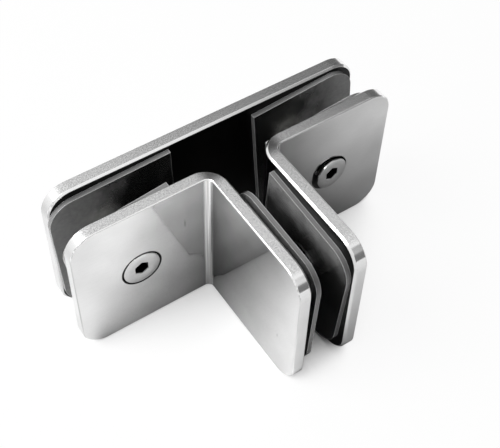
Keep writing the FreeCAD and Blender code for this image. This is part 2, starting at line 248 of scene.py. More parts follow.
@dataclass(frozen=True)
class PolishedSheet:
    """Austenitic stainless sheet, folded, ground along its edges and buffed on felt wheels.

    It gives the eye near-mirror flats that waver a little, with fine buffing hairlines, and
    satin edges with a sandy grain. The countersinks and the sides that face the glass, where no
    felt wheel reaches, are rougher. Painted shade darkens the steel toward the corner of a fold,
    on the bend's outer cut edge, in narrow gaps, in the countersinks and on the sides that face
    the glass.
    """

    sheet: Sheet
    colour: str = "#E4E4E4"
    shade_colour: str = "#D2D2D2"
    edge_colour: str = "#EAEAEA"
    edge_dark_colour: str = "#C2C2C2"
    bevel_colour: str = "#FAFAFA"
    # Painted shade: near-black in narrow gaps, toward the fold's corner and on the bend's cut edge
    painted_shade_colour: str = "#0C0C0C"
    # Painted shade on the slot sides and in the countersinks, and the colour of the handling marks
    wear_and_shade_colour: str = "#262626"
    roughness: float = 0.06
    hairline_roughness: float = 0.05
    edge_roughness: float = 0.18
    gap_roughness: float = 0.4
    rolled_roughness: float = 0.25
    # Edges and bevels, by how steeply their normal points up or down
    edge_slope: Span = (0.3, 0.8)
    sandy_slope: Span = (0.86, 0.97)
    edge_round_mm: float = 0.22
    edge_corner_shade_share: float = 0.06
    # Fold: painted shade toward its corner and on its cut edge outside the bend, and rubbed bright
    # inside
    corner_shade_share: float = 0.68
    corner_shade_mm: float = 12.0
    bend_radius_mm: float = 3.5
    bend_mm: Span = (-0.6, 4.2)
    bend_shade: float = 0.78
    inside_slope: Span = (0.08, 0.3)
    drawn_mm: float = 0.5
    drawn_stretch: Point = (1.0, 1.0, 0.02)
    sweep_mm: float = 7.2
    sweep_height_mm: float = 0.9
    # Countersinks, the sides that face the glass and narrow gaps, where shade is painted and the
    # steel is rougher
    screw_place_mm: float = 33.0
    stem_screw_place_mm: float = -39.2
    screw_height_mm: float = 25.0
    sink_radius_mm: float = 6.8
    sink_slope: float = 0.9
    slot_facing: Span = (0.9, 0.985)
    shade_gap_mm: float = 1.3
    shade_openness: Span = (0.1, 0.6)
    # Marks from handling: where the middle is, how long, how wide and how dark
    nicks_mm: tuple[Quad, ...] = ((-18.4, -16.4, 35.4, 2.2), (-10.2, -51.4, 16.3, 1.1))
    nick_width_mm: float = 0.32
    nick_core_share: float = 0.2
    nick_depth: float = 0.5
    # Hairlines, waves and the grain of the ground edges
    hairline_mm: float = 0.35
    hairline_stretch: Point = (0.12, 0.12, 1.0)
    hairline_spread: Span = (0.35, 0.75)
    hairline_share: float = 0.25
    rubbed_spread: Span = (0.42, 0.83)
    wave_mm: float = 15.0
    wave_height_mm: float = 0.014
    grain_mm: float = 0.36
    grain_spread: Span = (0.35, 0.65)
    grain_height_mm: float = 0.0025

    def rough_shaded_places(self, tree: Tree, place: Socket, normal: Socket) -> Node:
        """Find the slot sides and the countersinks, which get painted shade and more roughness.

        Args:
            tree: The material's tree.
            place: The point on the sheet.
            normal: The way in which the sheet faces there.

        Returns:
            One on the slot sides and in the countersinks, and zero elsewhere.
        """
        along = add_node(tree, "ShaderNodeSeparateXYZ", (place,)).outputs
        facing = add_node(tree, "ShaderNodeSeparateXYZ", (normal,)).outputs
        reach = add_node(tree, "ShaderNodeMath", (along["X"],), operation="ABSOLUTE")
        masks = []
        for across, flat, middle_mm in (
                (reach, facing["Y"], self.screw_place_mm),
                (along["Y"], facing["X"], self.stem_screw_place_mm)):
            spot = add_node(tree, "ShaderNodeCombineXYZ", {"X": across, "Z": along["Z"]})
            off = add_node(tree, "ShaderNodeVectorMath", (
                spot, metres(middle_mm, 0.0, self.screw_height_mm)), operation="DISTANCE")
            near = add_node(tree, "ShaderNodeMath", (off, self.sink_radius_mm * MM),
                            operation="LESS_THAN")
            flatness = add_node(tree, "ShaderNodeMath", (flat,), operation="ABSOLUTE")
            sloping = add_node(tree, "ShaderNodeMath", (flatness, self.sink_slope),
                               operation="LESS_THAN")
            masks.append(add_node(tree, "ShaderNodeMath", (near, sloping), operation="MULTIPLY"))
        for side in self.sheet.slot_sides:
            facing_glass = add_node(tree, "ShaderNodeVectorMath", (normal, side),
                                    operation="DOT_PRODUCT")
            masks.append(add_node(tree, "ShaderNodeMapRange", (facing_glass, *self.slot_facing)))
        return reduce(lambda one, two: add_node(
            tree, "ShaderNodeMath", (one, two), operation="MAXIMUM"), masks)

    def from_fold(self, tree: Tree, place: Socket) -> Node | None:
        """Measure how far a point is from the fold's corner, along its leg.

        Args:
            tree: The material's tree.
            place: The point on the sheet.

        Returns:
            The distance in metres, or None for the plate, which has no fold.
        """
        if self.sheet.fold_mm is None:
            return None
        off = add_node(tree, "ShaderNodeVectorMath", (
            place, metres(*self.sheet.fold_mm, 0.0)), operation="SUBTRACT")
        off = add_node(tree, "ShaderNodeVectorMath", (off,), operation="ABSOLUTE")
        legs = add_node(tree, "ShaderNodeSeparateXYZ", (off,)).outputs
        return add_node(tree, "ShaderNodeMath", (legs["X"], legs["Y"]), operation="MAXIMUM")

    def nicked(self, tree: Tree, place: Socket) -> Node:
        """Find the two short marks from handling, which only the left jaw's flats show.

        Args:
            tree: The material's tree.
            place: The point on the sheet.

        Returns:
            How deep the mark is at the point, zero elsewhere.
        """
        marks = []
        for *middle_mm, long_mm in self.nicks_mm:
            off = add_node(tree, "ShaderNodeVectorMath", (place, metres(*middle_mm)),
                           operation="SUBTRACT")
            off = add_node(tree, "ShaderNodeVectorMath", (
                off, (1.0, 1.0, self.nick_width_mm / long_mm)), operation="MULTIPLY")
            reach = add_node(tree, "ShaderNodeVectorMath", (off,), operation="LENGTH")
            marks.append(add_node(tree, "ShaderNodeMapRange", (
                reach, self.nick_core_share * self.nick_width_mm * MM,
                self.nick_width_mm * MM, self.nick_depth, 0.0)))
        return reduce(lambda one, two: add_node(
            tree, "ShaderNodeMath", (one, two), operation="MAXIMUM"), marks)

    def corner_shade(self, tree: Tree, off_fold: Node | None) -> Node | float:
        """Find how much painted shade darkens the sheet at a point, toward the fold's corner.

        Args:
            tree: The material's tree.
            off_fold: How far the point is from the fold's corner, or None for the plate.

        Returns:
            The share of painted shade, which is zero all over the plate.
        """
        if off_fold is None:
            return 0.0
        fall = add_node(tree, "ShaderNodeMath", (off_fold, -repeats(self.corner_shade_mm)),
                        operation="MULTIPLY")
        fall = add_node(tree, "ShaderNodeMath", (fall,), operation="EXPONENT")
        return add_node(tree, "ShaderNodeMath", (fall, self.corner_shade_share), operation="MULTIPLY")

    def shaded_bend_edge(self, tree: Tree, place: Socket) -> Node | float:
        """Find the outside of the bend, where its cut edge gets painted shade.

        Args:
            tree: The material's tree.
            place: The point on the sheet.

        Returns:
            One on the outside of the bend, falling to zero along the legs.
        """
        if self.sheet.fold_mm is None:
            return 0.0
        fold_x, fold_y = self.sheet.fold_mm
        turn = math.copysign(1.0, -fold_x)
        along = add_node(tree, "ShaderNodeSeparateXYZ", (place,)).outputs
        legs = tuple(add_node(tree, "ShaderNodeMath", (
            along[axis], way, -way * (centre - way * self.bend_radius_mm) * MM),
            operation="MULTIPLY_ADD")
            for axis, centre, way in (("X", fold_x, turn), ("Y", fold_y, 1.0)))
        corner = add_node(tree, "ShaderNodeMath", legs, operation="MINIMUM")
        return add_node(tree, "ShaderNodeMapRange", (corner, *metres(*self.bend_mm)),
                        interpolation_type="SMOOTHSTEP")

    def inside_fold(self, tree: Tree, facing: bpy.types.NodeOutputs) -> Node:
        """Find the inside of the fold, by its slanting normal.

        Args:
            tree: The material's tree.
            facing: The X, Y and Z of the normal.

        Returns:
            One on the inside of the fold, and zero on the flats.
        """
        outward = -1.0 if self.sheet is Sheet.RIGHT_JAW else 1.0
        slant = add_node(tree, "ShaderNodeMath", (facing["X"], outward), operation="MULTIPLY")
        slant = add_node(tree, "ShaderNodeMath", (slant, facing["Y"]), operation="MULTIPLY")
        return add_node(tree, "ShaderNodeMapRange", (slant, *self.inside_slope))

    def drawn_tone(self, tree: Tree, place: Socket) -> Node:
        """Colour the inside of the fold, rubbed bright by the bending bar, with lines along it.

        Args:
            tree: The material's tree.
            place: The point on the sheet.

        Returns:
            The colour.
        """
        drawn = add_node(tree, "ShaderNodeMapping", {
            "Vector": place, "Scale": self.drawn_stretch})
        drawn = add_node(tree, "ShaderNodeTexNoise", {
            "Vector": drawn, "Scale": repeats(self.drawn_mm), "Detail": 1.0})
        drawn = add_node(tree, "ShaderNodeMapRange", (drawn, *self.grain_spread))
        return add_node(tree, "ShaderNodeMix", (
            drawn, linear(self.edge_dark_colour), linear(self.bevel_colour)),
            data_type="RGBA")

    def find_masks(self, tree: Tree) -> SheetMasks:
        """Find out how the sheet was worked at a point.

        Args:
            tree: The material's tree.

        Returns:
            The masks and the textures.
        """
        spot = add_node(tree, "ShaderNodeTexCoord").outputs
        place = spot["Object"]
        streaks = add_node(tree, "ShaderNodeMapping", {
            "Vector": place, "Scale": self.hairline_stretch})
        hairlines = add_node(tree, "ShaderNodeTexNoise", {
            "Vector": streaks, "Scale": repeats(self.hairline_mm), "Detail": 3.0,
            "Roughness": 0.6})
        cloud = add_node(tree, "ShaderNodeTexNoise", {
            "Vector": place, "Scale": repeats(self.wave_mm), "Detail": 1.0})
        # The grit's real grain is finer than a pixel, so it is drawn as coarse as one
        grain = add_node(tree, "ShaderNodeTexNoise", {
            "Vector": place, "Scale": repeats(self.grain_mm), "Detail": 2.0})
        facing = add_node(tree, "ShaderNodeSeparateXYZ", (spot["Normal"],)).outputs
        steep = add_node(tree, "ShaderNodeMath", (facing["Z"],), operation="ABSOLUTE")
        edge, sandy = (
            add_node(tree, "ShaderNodeMapRange", (steep, *slope),
                     interpolation_type="SMOOTHSTEP")
            for slope in (self.edge_slope, self.sandy_slope))
        curved = self.inside_fold(tree, facing)
        off_flat = add_node(tree, "ShaderNodeMath", (edge, curved), operation="MAXIMUM")
        return SheetMasks(place, hairlines, cloud, grain, edge, sandy, curved, off_flat,
                          self.from_fold(tree, place),
                          shade_gaps(tree, self.shade_gap_mm, self.shade_openness),
                          self.rough_shaded_places(tree, place, spot["Normal"]))

    def gloss(self, tree: Tree, masks: SheetMasks) -> Node:
        """Roughen the mirror: a little in the hairlines, more on edges and in the slots.

        Args:
            tree: The material's tree.
            masks: How the sheet was worked.

        Returns:
            The roughness.
        """
        gloss = add_node(tree, "ShaderNodeMapRange", (
            masks.hairlines, *self.hairline_spread, self.roughness,
            self.roughness + self.hairline_roughness))
        gloss = add_node(tree, "ShaderNodeMapRange", {
            "Value": masks.edge, "To Min": gloss, "To Max": self.edge_roughness})
        for mask, roughness in ((masks.gap_shade, self.gap_roughness),
                                (masks.rough_and_shaded, self.rolled_roughness)):
            gloss = add_node(tree, "ShaderNodeMath", (mask, roughness, gloss),
                             operation="MULTIPLY_ADD")
        return gloss

    def tone(self, tree: Tree, masks: SheetMasks) -> Node:
        """Colour the flats and the edges, and lay the painted shade and the handling marks over
        them.

        Args:
            tree: The material's tree.
            masks: How the sheet was worked.

        Returns:
            The colour.
        """
        dark, wear_and_shade = linear(self.painted_shade_colour), linear(self.wear_and_shade_colour)
        rubbed = add_node(tree, "ShaderNodeMath", (
            masks.hairlines, self.hairline_share, masks.cloud), operation="MULTIPLY_ADD")
        rubbed = add_node(tree, "ShaderNodeMapRange", (rubbed, *self.rubbed_spread))
        specks = add_node(tree, "ShaderNodeMapRange", (masks.grain, *self.grain_spread))
        # Painted shade on the cut edge outside the bend
        bend_shaded = add_node(tree, "ShaderNodeMath", (
            self.shaded_bend_edge(tree, masks.place), self.bend_shade), operation="MULTIPLY")
        # Painted shade toward the fold's corner, eased off on the edges and in the fold
        corner_shaded = add_node(tree, "ShaderNodeMapRange", {
            "Value": masks.off_flat, "To Min": self.corner_shade(tree, masks.off_fold),
            "To Max": self.edge_corner_shade_share})
        edge_tone = linear(self.edge_dark_colour)
        for mask, layer in ((specks, linear(self.edge_colour)), (bend_shaded, dark)):
            edge_tone = add_node(tree, "ShaderNodeMix", (mask, edge_tone, layer), data_type="RGBA")
        edge_tone = add_node(tree, "ShaderNodeMix", (
            masks.sandy, linear(self.bevel_colour), edge_tone), data_type="RGBA")
        layers = [(rubbed, linear(self.shade_colour)),
                  (masks.curved, self.drawn_tone(tree, masks.place)),
                  (masks.edge, edge_tone), (corner_shaded, dark)]
        if self.sheet is Sheet.LEFT_JAW:
            layers.append((self.nicked(tree, masks.place), wear_and_shade))
        # Painted shade on the slot sides, in the countersinks and in the narrow gaps
        layers += [(masks.rough_and_shaded, wear_and_shade), (masks.gap_shade, dark)]
        tone = linear(self.colour)
        for mask, layer in layers:
            tone = add_node(tree, "ShaderNodeMix", (mask, tone, layer), data_type="RGBA")
        return tone

    def shape(self, tree: Tree, masks: SheetMasks) -> Node:
        """Round the edges, wave the flats, sweep them into the fold and sand the edges.

        Args:
            tree: The material's tree.
            masks: How the sheet was worked.

        Returns:
            The normal.
        """
        shape = add_node(tree, "ShaderNodeBevel", {"Radius": self.edge_round_mm * MM}, samples=6)
        bumps = [(masks.cloud, 1.0, self.wave_height_mm),
                 (masks.grain, masks.sandy, self.grain_height_mm)]
        if masks.off_fold is not None:
            # A bent sheet is never flat up to the fold: its last few mm sweep into it
            sweep = add_node(tree, "ShaderNodeMapRange", (
                masks.off_fold, 0.0, self.sweep_mm * MM, 1.0, 0.0))
            sweep = add_node(tree, "ShaderNodeMath", (sweep, 2.0), operation="POWER")
            flatness = add_node(tree, "ShaderNodeMath", (1.0, masks.off_flat),
                                operation="SUBTRACT")
            bumps.insert(1, (sweep, flatness, self.sweep_height_mm))
        for height, strength, height_mm in bumps:
            shape = add_node(tree, "ShaderNodeBump", {
                "Height": height, "Strength": strength, "Distance": height_mm * MM,
                "Normal": shape})
        return shape

    def make(self) -> Material:
        """Build the finish.

        Returns:
            The material.
        """
        material, tree = new_material("mirror_polished_stainless_" + self.sheet.name.lower())
        masks = self.find_masks(tree)
        steel = add_node(tree, "ShaderNodeBsdfPrincipled", {
            "Base Color": self.tone(tree, masks), "Roughness": self.gloss(tree, masks),
            "Normal": self.shape(tree, masks), "Metallic": 1.0})
        add_node(tree, "ShaderNodeOutputMaterial", (steel,))
        return material


@dataclass(frozen=True)
class TurnedSteel:
    """Stainless bar, turned on a lathe and tumbled bright, with a broached socket in painted
    shade.

    It gives the eye faint rings round the axis and a softer shine than the sheet. The socket's
    walls, torn by the broach, are rougher; they and the narrow gaps round the head are painted
    near-black as shade.
    """

    colour: str = "#D4D4D4"
    ring_colour: str = "#BCBCBC"
    # Painted shade in the socket and in the narrow gaps round the head
    socket_shade_colour: str = "#101010"
    roughness: float = 0.15
    ring_roughness: float = 0.225
    socket_roughness: float = 0.5
    ring_mm: float = 0.28
    wobble_mm: float = 2.0
    shade_gap_mm: float = 1.4
    shade_openness: Span = (0.05, 0.5)

    def make(self) -> Material:
        """Build the finish.

        Returns:
            The material.
        """
        material, tree = new_material("bright_turned_stainless")
        reach, socket_shade = (
            add_node(tree, "ShaderNodeAttribute", attribute_name=layer).outputs["Fac"]
            for layer in (RADIUS_LAYER, SOCKET_LAYER))
        rings = add_node(tree, "ShaderNodeMath", (
            reach, 2.0 * math.pi * repeats(self.ring_mm)), operation="MULTIPLY")
        wave = add_node(tree, "ShaderNodeMath", (rings,), operation="SINE")
        # Painted shade: the socket and the narrow gaps round the head go near-black
        gap_shade = shade_gaps(tree, self.shade_gap_mm, self.shade_openness)
        dark = add_node(tree, "ShaderNodeMath", (socket_shade, gap_shade), operation="MAXIMUM")
        tone = add_node(tree, "ShaderNodeTexNoise", {
            "Vector": add_node(tree, "ShaderNodeTexCoord").outputs["Object"],
            "Scale": repeats(self.wobble_mm), "Detail": 3.0})
        tone = add_node(tree, "ShaderNodeMix", (
            tone, linear(self.colour), linear(self.ring_colour)), data_type="RGBA")
        tone = add_node(tree, "ShaderNodeMix", (dark, tone, linear(self.socket_shade_colour)),
                        data_type="RGBA")
        gloss = add_node(tree, "ShaderNodeMapRange", (
            wave, -1.0, 1.0, self.roughness, self.ring_roughness))
        gloss = add_node(tree, "ShaderNodeMapRange", {
            "Value": dark, "To Min": gloss, "To Max": self.socket_roughness})
        steel = add_node(tree, "ShaderNodeBsdfPrincipled", {
            "Base Color": tone, "Roughness": gloss, "Metallic": 1.0})
        add_node(tree, "ShaderNodeOutputMaterial", (steel,))
        return material


@dataclass(frozen=True)
class ClearVinyl:
    """Soft clear PVC sheet, calendered and cut to shape with a knife.

    It gives the eye pale cut edges, whose whitish burr is partly a painted highlight, round dark
    steel seen through the sheet, and a patchy haze that paints light where it comes into the
    slots: at the open ends, and along the top of the stem.
    """

    run: Run
    colour: str = "#C8C8C8"
    veil_colour: str = "#A6A6A6"
    edge_colour: str = "#8E8E8E"
    # Whitish burr along the cut rims, partly a painted highlight
    rim_burr_highlight_colour: str = "#F0F0F0"
    roughness: float = 0.2
    clear_share: float = 0.96
    cut_share: float = 0.35
    cut_slope: Span = (0.3, 0.8)
    rim_mm: float = 0.3
    rim_turn: Span = (0.8, 0.97)
    grain_mm: float = 1.1
    grain_share: float = 0.3
    grain_height_mm: float = 0.02
    # Painted light: a haze that lightens the pads toward the open ends and the top of the stem.
    # Where it starts and is full, how far both wander, and how much light it stops
    plate_lit_haze: Quad = (24.0, 43.0, 5.0, 0.64)
    stem_lit_haze: Quad = (34.0, 47.0, 2.0, 0.42)
    cloud_mm: float = 6.0
    cloud_spread: Span = (0.3, 0.7)

    def clearness(self, tree: Tree, place: Socket) -> Node:
        """Cloud the faces of the sheet toward its open end or its top, as painted light where
        light comes into the slot.

        Args:
            tree: The material's tree.
            place: The point on the sheet.

        Returns:
            The share of the light that the sheet lets through.
        """
        start_mm, full_mm, wander_mm, stopped = (
            self.plate_lit_haze if self.run is Run.PLATE else self.stem_lit_haze)
        along = add_node(tree, "ShaderNodeSeparateXYZ", (place,)).outputs
        reach = add_node(tree, "ShaderNodeMath", (
            along["X" if self.run is Run.PLATE else "Z"],), operation="ABSOLUTE")
        cloud = add_node(tree, "ShaderNodeTexNoise", {
            "Vector": place, "Scale": repeats(self.cloud_mm), "Detail": 3.0})
        wander = add_node(tree, "ShaderNodeMapRange", (
            cloud, *self.cloud_spread, *metres(-wander_mm, wander_mm)))
        reach = add_node(tree, "ShaderNodeMath", (reach, wander), operation="ADD")
        return add_node(tree, "ShaderNodeMapRange", (
            reach, *metres(start_mm, full_mm), self.clear_share, self.clear_share - stopped),
            interpolation_type="SMOOTHSTEP")

    def make(self) -> Material:
        """Build the finish.

        Returns:
            The material.
        """
        material, tree = new_material("clear_soft_pvc_" + self.run.value)
        spot = add_node(tree, "ShaderNodeTexCoord").outputs
        grain = add_node(tree, "ShaderNodeTexNoise", {
            "Vector": spot["Object"], "Scale": repeats(self.grain_mm), "Detail": 2.0})
        facing = add_node(tree, "ShaderNodeSeparateXYZ", (spot["Normal"],)).outputs
        broad = add_node(tree, "ShaderNodeMath", (
            facing["Y" if self.run is Run.PLATE else "X"],), operation="ABSOLUTE")
        cut = add_node(tree, "ShaderNodeMapRange", (broad, *self.cut_slope, 1.0, 0.0))
        # The knife leaves a whitish burr along the rims, painted brighter as a highlight, found
        # where a rounded normal differs
        rounded = add_node(tree, "ShaderNodeBevel", {"Radius": self.rim_mm * MM}, samples=6)
        turned = add_node(tree, "ShaderNodeVectorMath", (
            rounded, add_node(tree, "ShaderNodeNewGeometry").outputs["Normal"]),
            operation="DOT_PRODUCT")
        burr_and_highlight = add_node(tree, "ShaderNodeMapRange", (turned, *self.rim_turn, 1.0, 0.0))
        tone = linear(self.colour)
        for mask, colour in ((grain, self.veil_colour), (cut, self.edge_colour),
                             (burr_and_highlight, self.rim_burr_highlight_colour)):
            tone = add_node(tree, "ShaderNodeMix", (mask, tone, linear(colour)), data_type="RGBA")
        clear = self.clearness(tree, spot["Object"])
        for mask, share in ((cut, self.cut_share), (burr_and_highlight, 0.0)):
            clear = add_node(tree, "ShaderNodeMapRange", {
                "Value": mask, "To Min": clear, "To Max": share})
        shape = add_node(tree, "ShaderNodeBump", {
            "Height": grain, "Strength": self.grain_share,
            "Distance": self.grain_height_mm * MM})
        vinyl = add_node(tree, "ShaderNodeBsdfPrincipled", {
            "Base Color": tone, "Transmission Weight": clear, "Normal": shape,
            "Roughness": self.roughness, "IOR": PLASTIC_IOR})
        add_node(tree, "ShaderNodeOutputMaterial", (vinyl,))
        return material


@dataclass(frozen=True)
class NaturalNylon:
    """Extruded natural polyamide tube, parted off on a lathe.

    It gives the eye a milky, slightly waxy white.
    """

    colour: str = "#D6D5D0"
    mottle_colour: str = "#C6C5C0"
    roughness: float = 0.42
    mottle_mm: float = 1.6
    milky_share: float = 0.25
    milky_mm: float = 0.6

    def make(self) -> Material:
        """Build the finish.

        Returns:
            The material.
        """
        material, tree = new_material("natural_nylon_tube")
        mottle = add_node(tree, "ShaderNodeTexNoise", {
            "Vector": add_node(tree, "ShaderNodeTexCoord").outputs["Object"],
            "Scale": repeats(self.mottle_mm), "Detail": 3.0})
        tone = add_node(tree, "ShaderNodeMix", (
            mottle, linear(self.colour), linear(self.mottle_colour)), data_type="RGBA")
        nylon = add_node(tree, "ShaderNodeBsdfPrincipled", {
            "Base Color": tone, "Roughness": self.roughness, "IOR": PLASTIC_IOR,
            "Subsurface Weight": self.milky_share,
            "Subsurface Radius": metres(self.milky_mm, self.milky_mm, self.milky_mm)})
        add_node(tree, "ShaderNodeOutputMaterial", (nylon,))
        return material


def put(name: str, data: bpy.types.ID) -> Object:
    """Make an object and put it in the scene.

    Args:
        name: The object's name.
        data: Its mesh, camera or lamp.

    Returns:
        The new object.
    """
    made = bpy.data.objects.new(name, data)
    bpy.context.scene.collection.objects.link(made)
    return made


def aim(piece: Object, place_mm: Point, target_mm: Point, roll_deg: float = 0.0) -> None:
    """Set a camera or a lamp at a place and turn it toward a target.

    Args:
        piece: The camera or lamp.
        place_mm: Where it stands.
        target_mm: What it looks at.
        roll_deg: How far it leans to one side.
    """
    place = Vector(place_mm) * MM
    look = (Vector(target_mm) * MM - place).to_track_quat("-Z", "Y")
    piece.location = place
    piece.rotation_mode = "QUATERNION"
    piece.rotation_quaternion = look @ Quaternion((0.0, 0.0, 1.0), math.radians(roll_deg))


def ring_mesh(name: str, rings: list[list[Vector]], smooth_angle: float) -> Mesh:
    """Skin a stack of rings with equal counts, closing both ends to a single point.

    Args:
        name: The mesh's name.
        rings: Rings in order along the surface, each turning the same way.
        smooth_angle: Edges sharper than this angle stay hard, in radians.

    Returns:
        The closed mesh with its faces outwards.
    """
    count = len(rings[0])
    points = [tuple(point) for ring in rings for point in ring]
    faces = []
    for level in range(len(rings) - 1):
        for step in range(count):
            after = (step + 1) % count
            faces.append((level * count + step, level * count + after,
                          (level + 1) * count + after, (level + 1) * count + step))
    first_end = len(points)
    points += [tuple(sum(ring, Vector()) / count) for ring in (rings[0], rings[-1])]
    last_ring = (len(rings) - 1) * count
    for step in range(count):
        after = (step + 1) % count
        faces.append((after, step, first_end))
        faces.append((last_ring + step, last_ring + after, first_end + 1))
    mesh = bpy.data.meshes.new(name)
    mesh.from_pydata(points, [], faces)
    mesh.validate()
    mesh.polygons.foreach_set("use_smooth", [True] * len(mesh.polygons))
    mesh.set_sharp_from_angle(angle=smooth_angle)
    return mesh


def write_layer(mesh: Mesh, name: str, values: list[float]) -> None:
    """Store a number with each vertex, for the finish to read.

    Args:
        mesh: The mesh.
        name: The layer's name.
        values: A number for each vertex.
    """
    layer = mesh.attributes.new(name, "FLOAT", "POINT")
    layer.data.foreach_set("value", values)


@dataclass(frozen=True)
class CountersunkScrew:
    """M6 countersunk screw with a hexagon socket and a cut thread."""

    side: Side
    axis: Point
    lean_deg: float = 0.0
    thread_mm: float = 6.0
    core_mm: float = 4.9
    pitch_mm: float = 1.0
    length_mm: float = 12.0
    head_mm: float = 11.7
    face_share: float = 0.6
    land_mm: float = 0.4
    head_round_mm: float = 0.12
    round_share: float = 0.3
    neck_mm: float = 0.3
    hex_mm: float = 4.0
    hex_depth_mm: float = 2.6
    hex_chamfer_mm: float = 0.22
    drill_share: float = 0.43
    drill_tip_share: float = 0.05
    drill_tip_mm: float = 0.9
    lip_mm: float = 0.05
    floor_margin_mm: float = 0.1
    tip_mm: float = 1.0
    ridge_start_mm: float = 0.5
    ridge_end_share: float = 0.35
    ridge_foot_share: float = 0.44
    smooth_deg: float = 28.0
    steps: int = 96

    @property
    def node(self) -> str:
        """Name of the CAD node that the screw stands for."""
        return self.side.value + "_screw"

    @property
    def cone_end_mm(self) -> float:
        """Height at which the head's cone meets the shank."""
        return -(self.land_mm + (self.head_mm - self.thread_mm) / 2.0)

    def locate(self) -> Matrix:
        """Work out from the CAD screw's box where the head's centre lies, and how it turns.

        Returns:
            The matrix that takes the screw from its own axis to its place.
        """
        low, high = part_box(self.node)
        rise = self.head_mm / 2.0 * MM * math.sin(math.radians(abs(self.lean_deg)))
        head = (low + high) / 2.0
        for index, way in enumerate(self.axis):
            if way:
                head[index] = (high if way > 0.0 else low)[index]
                head[index] -= math.copysign(rise, way)
        up, out = Vector((0.0, 0.0, 1.0)), Vector(self.axis)
        turn = Matrix((up.cross(out), up, out)).transposed()
        lean = Matrix.Rotation(math.radians(self.lean_deg), 3, "Y")
        return Matrix.Translation(head) @ (turn @ lean).to_4x4()

    def ring(self, reach_mm: Callable[[float], float], height_mm: float) -> list[Vector]:
        """Set points round the screw's own axis.

        Args:
            reach_mm: Gives the distance from the axis at an angle in radians.
            height_mm: How high the points lie, where the head's face is zero.

        Returns:
            The points in order.
        """
        angles = [2.0 * math.pi * step / self.steps for step in range(self.steps)]
        return [Vector(metres(math.sin(angle) * reach_mm(angle),
                              math.cos(angle) * reach_mm(angle), height_mm))
                for angle in angles]

    def circle(self, radius_mm: float, height_mm: float) -> list[Vector]:
        """Return a ring of points at a radius and a height."""
        return self.ring(lambda angle: radius_mm, height_mm)

    def hexagon(self, across_mm: float, height_mm: float) -> list[Vector]:
        """Return a ring of points on a hexagon, with a corner upwards."""
        return self.ring(lambda angle: across_mm / 2.0 / math.cos(
            angle % (math.pi / 3.0) - math.pi / 6.0), height_mm)

    def build_blank(self) -> Mesh:
        """Turn the head and the core, and sink the socket.

        Returns:
            The blank's mesh, on the screw's own axis.
        """
        head, major, core = (
            across / 2.0 for across in (self.head_mm, self.thread_mm, self.core_mm))
        rim = self.head_round_mm
        cone_end, end = self.cone_end_mm, -self.length_mm
        taper = self.tip_mm / 2.0
        rings = [
            self.circle(self.hex_mm * self.drill_tip_share,
                        -self.hex_depth_mm - self.drill_tip_mm),
            self.circle(self.hex_mm * self.drill_share, -self.hex_depth_mm),
            self.hexagon(self.hex_mm, -self.hex_depth_mm),
            self.hexagon(self.hex_mm, -self.hex_chamfer_mm),
            self.hexagon(self.hex_mm + 2.0 * self.hex_chamfer_mm, 0.0),
            self.circle(head * self.face_share, 0.0),
            self.circle(head - rim, 0.0),
            self.circle(head - rim * self.round_share, -rim * self.round_share),
            self.circle(head, -rim),
            self.circle(head, -self.land_mm),
            self.circle(major, cone_end),
            self.circle(major, cone_end - self.neck_mm),
            self.circle(core, cone_end - self.neck_mm - (major - core)),
            self.circle(core, end + taper),
            self.circle(core - taper, end),
        ]
        return ring_mesh(self.node + "_blank", rings, math.radians(self.smooth_deg))

    def build_thread(self) -> Mesh:
        """Cut the thread: a ridge that winds down the core, made with Geometry Nodes.

        Returns:
            The ridge's mesh, on the screw's own axis.
        """
        top = self.cone_end_mm - self.ridge_start_mm
        length = self.length_mm + top - self.tip_mm * self.ridge_end_share
        tree = thread_tree()
        holder = put(self.node + "_thread", bpy.data.meshes.new("thread"))
        modifier = holder.modifiers.new("thread", "NODES")
        modifier.node_group = tree
        sizes = {
            "Turns": length / self.pitch_mm,
            "Core": self.core_mm / 2.0 * MM,
            "Length": length * MM,
            "Top": top * MM,
            "Half Pitch": self.pitch_mm * self.ridge_foot_share * MM,
            "Depth": (self.thread_mm - self.core_mm) / 2.0 * MM,
        }
        for item in tree.interface.items_tree:
            if item.item_type == "SOCKET" and item.name in sizes:
                modifier[item.identifier] = sizes[item.name]
        bpy.context.view_layer.update()
        graph = bpy.context.evaluated_depsgraph_get()
        mesh = bpy.data.meshes.new_from_object(holder.evaluated_get(graph))
        bpy.data.objects.remove(holder)
        return mesh

    def build(self) -> Object:
        """Join the blank and its thread, and set them where the CAD screw is.

        Returns:
            The screw, with its place in its mesh.
        """
        screw = put(self.node + "_cut", self.build_blank())
        pair = [screw, put(self.node + "_ridge", self.build_thread())]
        with bpy.context.temp_override(active_object=screw, object=screw, selected_objects=pair,
                                       selected_editable_objects=pair):
            bpy.ops.object.join()
        points = [vertex.co.copy() for vertex in screw.data.vertices]
        core, lip, floor = metres(
            self.core_mm / 2.0, -self.lip_mm,
            -(self.hex_depth_mm + self.drill_tip_mm + self.floor_margin_mm))
        write_layer(screw.data, RADIUS_LAYER, [point.xy.length for point in points])
        write_layer(screw.data, SOCKET_LAYER, [
            float(point.xy.length < core and floor < point.z < lip) for point in points])
        screw.data.transform(self.locate())
        screw.data.update()
        return screw

    def dress(self, screw: Object, finish: Material) -> None:
        """Give the screw its finish, and let it stand for the CAD screw.

        Args:
            screw: The built screw.
            finish: Its finish.
        """
        screw.data.materials.clear()
        screw.data.materials.append(finish)
        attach(screw, ROOT)
        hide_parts(self.node)


